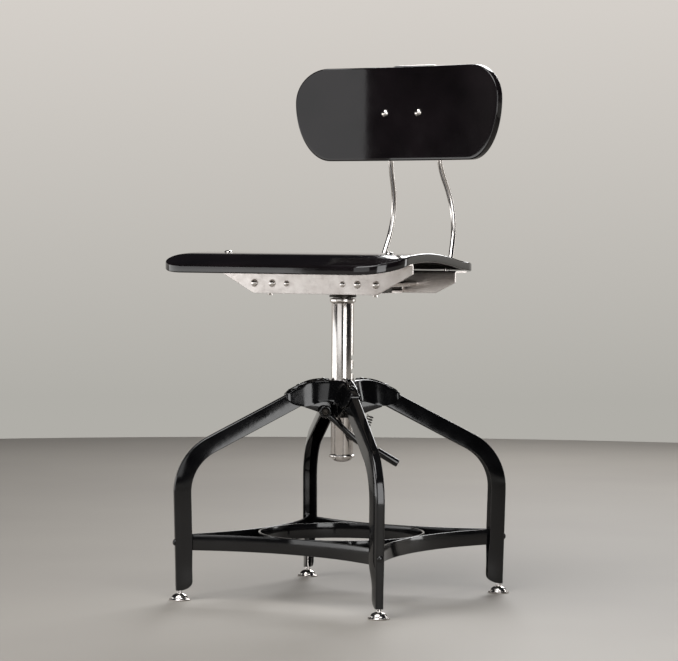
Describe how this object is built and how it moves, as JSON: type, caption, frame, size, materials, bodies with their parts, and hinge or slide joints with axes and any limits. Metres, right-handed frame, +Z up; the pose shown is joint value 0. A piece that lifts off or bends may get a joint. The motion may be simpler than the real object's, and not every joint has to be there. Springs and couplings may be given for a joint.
{
  "type": "drafting chair",
  "caption": "Swivel drafting chair with a bent wood seat and back on a height-adjustable post, over a pressed steel base with a ring footrest and swivelling glides.",
  "frame": {"origin": "middle of the footprint box, on the floor", "axes": "+Z up, the seat faces -Y, and +X is the sitter's left-hand side"},
  "size_m": [0.38, 0.4168, 0.7569],
  "materials": {
    "lacquer": "moulded plywood in gloss black lacquer",
    "enamel": "pressed steel in gloss black enamel",
    "nickel": "polished nickel plate",
    "satin_nickel": "satin nickel plate on steel sheet",
    "dark_steel": "oiled dark steel"
  },
  "bodies": {
    "base": {"hub_shell": "enamel", "hub_sleeve": "enamel", "leg_front_right": "enamel", "leg_rear_right": "enamel", "leg_rear_left": "enamel", "leg_front_left": "enamel", "hub_rivet_front_right": "enamel", "strap_rivet_front_right": "enamel", "hub_rivet_rear_right": "enamel", "strap_rivet_rear_right": "enamel", "hub_rivet_rear_left": "enamel", "strap_rivet_rear_left": "enamel", "hub_rivet_front_left": "enamel", "strap_rivet_front_left": "enamel", "footrest_ring": "enamel", "strap_right": "enamel", "strap_rear": "enamel", "strap_left": "enamel", "strap_front": "enamel", "lever_pin": "dark_steel", "lever_bracket": "enamel", "latch_spring": "dark_steel"},
    "column": {"post_tube": "nickel", "post_collar": "nickel", "post_foot": "nickel"},
    "seat": {"seat_panel": "lacquer", "swivel_spindle": "satin_nickel", "thrust_washer": "dark_steel", "swivel_plate": "satin_nickel", "front_bracket": "satin_nickel", "rear_bracket": "satin_nickel", "back_rod": "nickel", "seat_bolt_front_outer_right": "nickel", "seat_bolt_front_outer_left": "nickel", "seat_bolt_front_inner_right": "nickel", "seat_bolt_front_inner_left": "nickel", "seat_bolt_rear_right": "nickel", "seat_bolt_rear_left": "nickel", "tie_screw_left": "nickel", "tie_screw_right": "nickel", "socket_screw_inner_left": "nickel", "socket_screw_inner_right": "nickel", "socket_screw_outer_left": "nickel", "socket_screw_outer_right": "nickel", "rod_socket_left": "dark_steel", "rod_set_screw_left": "nickel", "rod_socket_right": "dark_steel", "rod_set_screw_right": "nickel"},
    "back": {"back_panel": "lacquer", "clamp_block": "satin_nickel", "clamp_plate": "satin_nickel", "clamp_screw_left": "nickel", "clamp_screw_right": "nickel"},
    "lever": {"lever_rod": "enamel", "lever_handle": "enamel", "latch_pawl": "dark_steel"},
    "glide_front_right_body": {"glide_front_right": "nickel"},
    "glide_rear_right_body": {"glide_rear_right": "nickel"},
    "glide_rear_left_body": {"glide_rear_left": "nickel"},
    "glide_front_left_body": {"glide_front_left": "nickel"}
  },
  "joints": [
    {"name": "height_slide", "type": "slide", "parent": "base", "child": "column", "axis": [0, 0, 1], "range_m": [-0.0762, 0.0381]},
    {"name": "seat_swivel", "type": "hinge", "parent": "column", "child": "seat", "pos_m": [0, -0.01341, 0.43], "axis": [0, 0, 1], "continuous": true},
    {"name": "back_height", "type": "slide", "parent": "seat", "child": "back", "axis": [0, 0, 1], "range_m": [-0.035, 0.03]},
    {"name": "lever_lift", "type": "hinge", "parent": "base", "child": "lever", "pos_m": [-0.00652, -0.04638, 0.262], "axis": [0.5299, -0.848, 0], "range_deg": [0, 9], "stiffness_Nm_per_rad": 3, "springref_deg": -14.32, "deforming": ["latch_spring"]},
    {"name": "glide_spin_front_right", "type": "hinge", "parent": "base", "child": "glide_front_right_body", "pos_m": [0.16264, -0.17605, 0], "axis": [0, 0, 1], "continuous": true},
    {"name": "glide_spin_rear_right", "type": "hinge", "parent": "base", "child": "glide_rear_right_body", "pos_m": [0.16264, 0.14922, 0], "axis": [0, 0, 1], "continuous": true},
    {"name": "glide_spin_rear_left", "type": "hinge", "parent": "base", "child": "glide_rear_left_body", "pos_m": [-0.16264, 0.14922, 0], "axis": [0, 0, 1], "continuous": true},
    {"name": "glide_spin_front_left", "type": "hinge", "parent": "base", "child": "glide_front_left_body", "pos_m": [-0.16264, -0.17605, 0], "axis": [0, 0, 1], "continuous": true}
  ]
}
